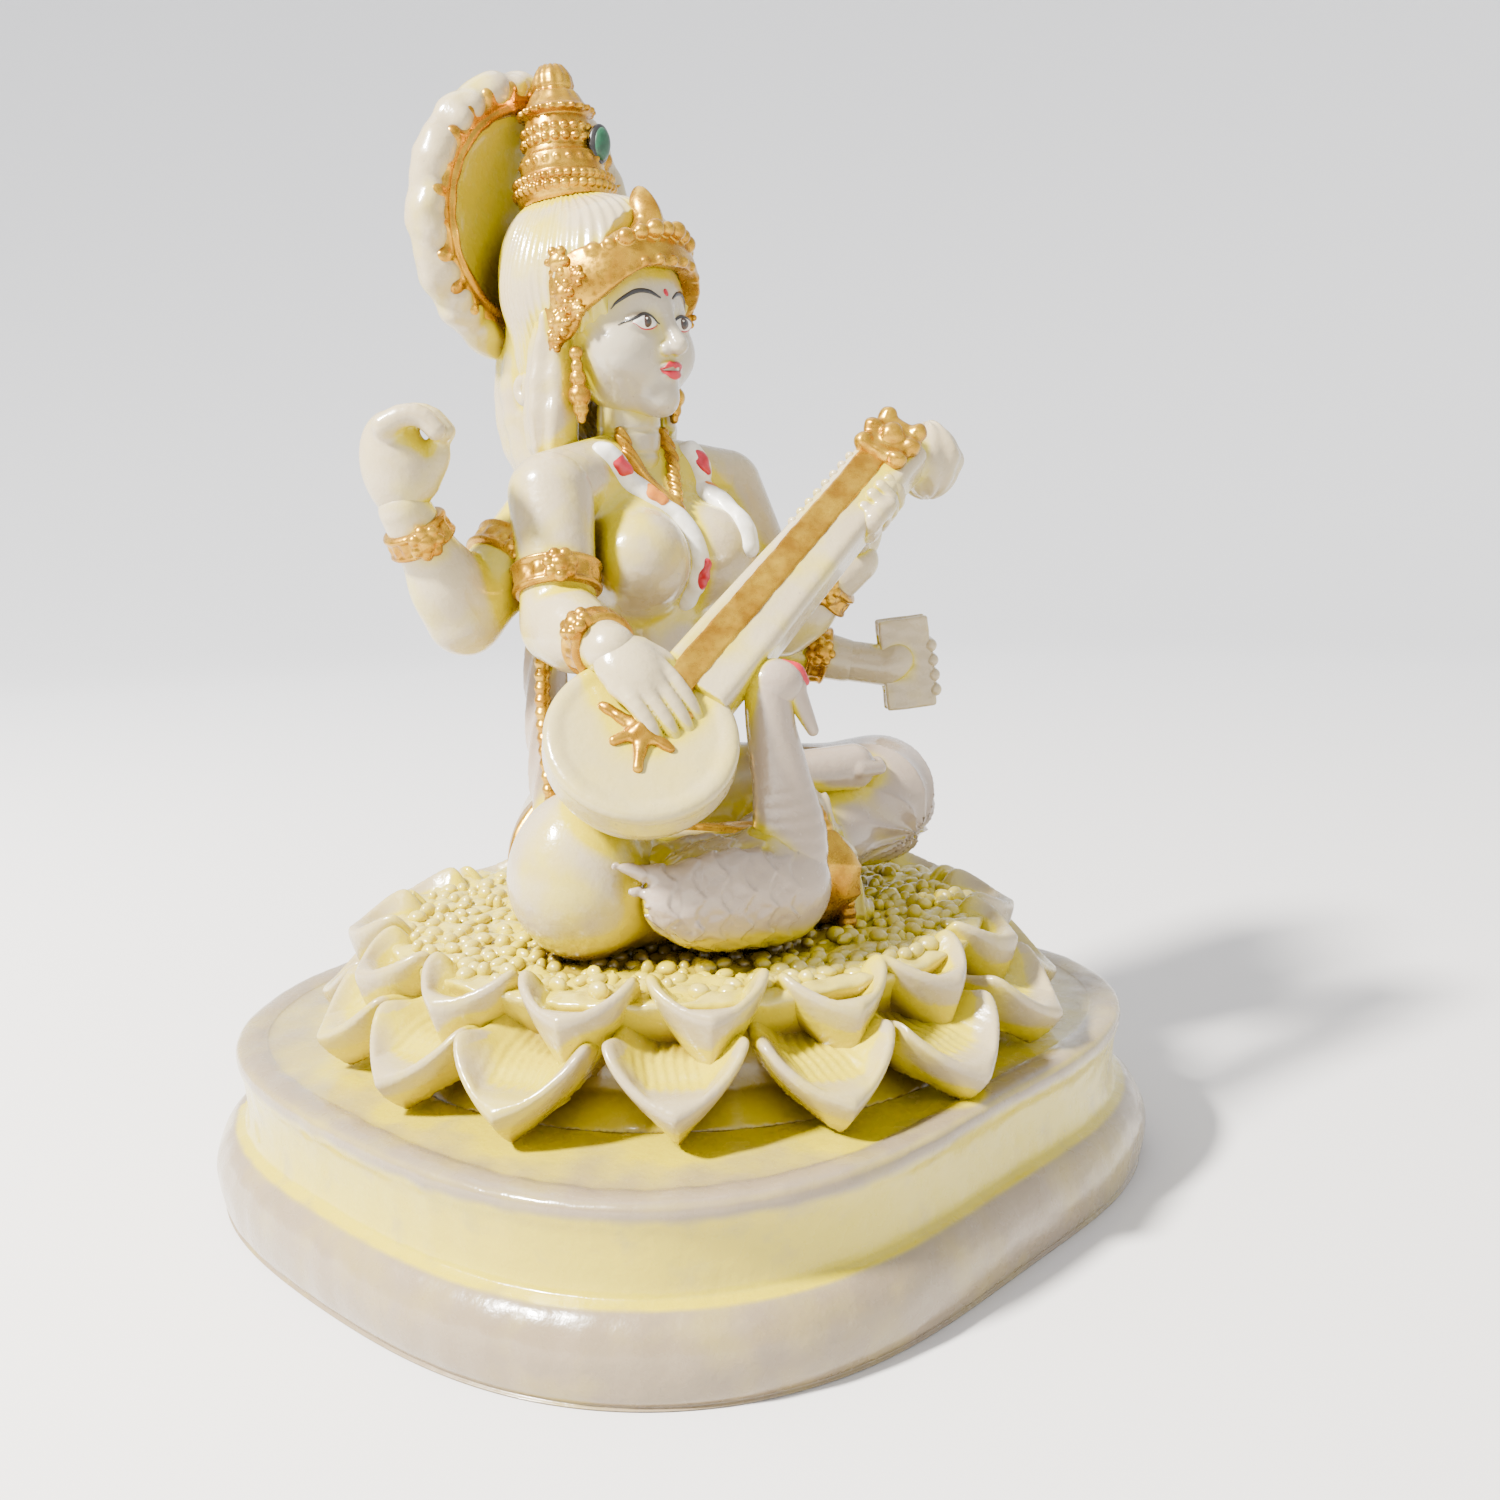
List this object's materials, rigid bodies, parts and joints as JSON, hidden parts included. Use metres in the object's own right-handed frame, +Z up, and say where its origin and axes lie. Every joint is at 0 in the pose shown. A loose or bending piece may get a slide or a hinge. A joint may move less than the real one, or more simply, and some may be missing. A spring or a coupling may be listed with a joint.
{
  "type": "deity figurine",
  "caption": "Seated four-armed deity statuette playing a veena, with halo, crown, book and swan, on a cupped lotus and a two-tier plinth; free-standing ornament",
  "frame": {"origin": "centre of the plinth's underside, on the surface it stands on", "axes": "+Z up to the crown; the figure faces -Y; its right hand is on the -X side"},
  "size_m": [0.1206, 0.12, 0.1523],
  "materials": {
    "figure_resin": "ivory pearl gloss with a yellow wash in the folds",
    "base_resin": "ivory gloss with a yellow-green wash",
    "stamen_wash": "glossy cream and yellow grains",
    "gold_paint": "hand-brushed metallic gold paint",
    "green_paint": "glossy dark green paint",
    "red_paint": "glossy red paint",
    "flower_paint": "white paint with pink and orange blossoms"
  },
  "bodies": {
    "root": {"armlets": "gold_paint", "book": "figure_resin", "bracelets": "gold_paint", "crown_leaf": "green_paint", "crown_spire": "gold_paint", "crown_tiers": "gold_paint", "ear_ornaments": "gold_paint", "earrings": "gold_paint", "front_left_arm": "figure_resin", "front_left_hand": "figure_resin", "front_right_arm": "figure_resin", "front_right_hand": "figure_resin", "garland": "flower_paint", "hair": "figure_resin", "hair_fall": "figure_resin", "halo_border": "figure_resin", "halo_dish": "figure_resin", "halo_ring": "gold_paint", "halo_stem": "figure_resin", "head": "figure_resin", "knee_borders": "gold_paint", "left_leg": "figure_resin", "lotus_core": "base_resin", "lotus_lower_petals": "base_resin", "lotus_upper_petals": "base_resin", "neck": "figure_resin", "necklace": "gold_paint", "pleat_border": "gold_paint", "plinth_lower": "base_resin", "plinth_upper": "base_resin", "rear_left_arm": "figure_resin", "rear_left_hand": "figure_resin", "rear_right_arm": "figure_resin", "rear_right_hand": "figure_resin", "right_foot": "figure_resin", "right_leg": "figure_resin", "scarf": "figure_resin", "skirt_pleats": "figure_resin", "stamens": "stamen_wash", "swan_beak": "figure_resin", "swan_body": "figure_resin", "swan_crest": "red_paint", "swan_head": "figure_resin", "swan_neck": "figure_resin", "swan_tail": "figure_resin", "tiara": "gold_paint", "torso": "figure_resin", "veena_bridge": "gold_paint", "veena_fretboard": "gold_paint", "veena_frets": "figure_resin", "veena_gourd": "figure_resin", "veena_head": "gold_paint", "veena_neck": "figure_resin", "veena_sound_board": "figure_resin", "veena_upper_gourd": "figure_resin", "waist_sash": "gold_paint"}
  },
  "joints": []
}
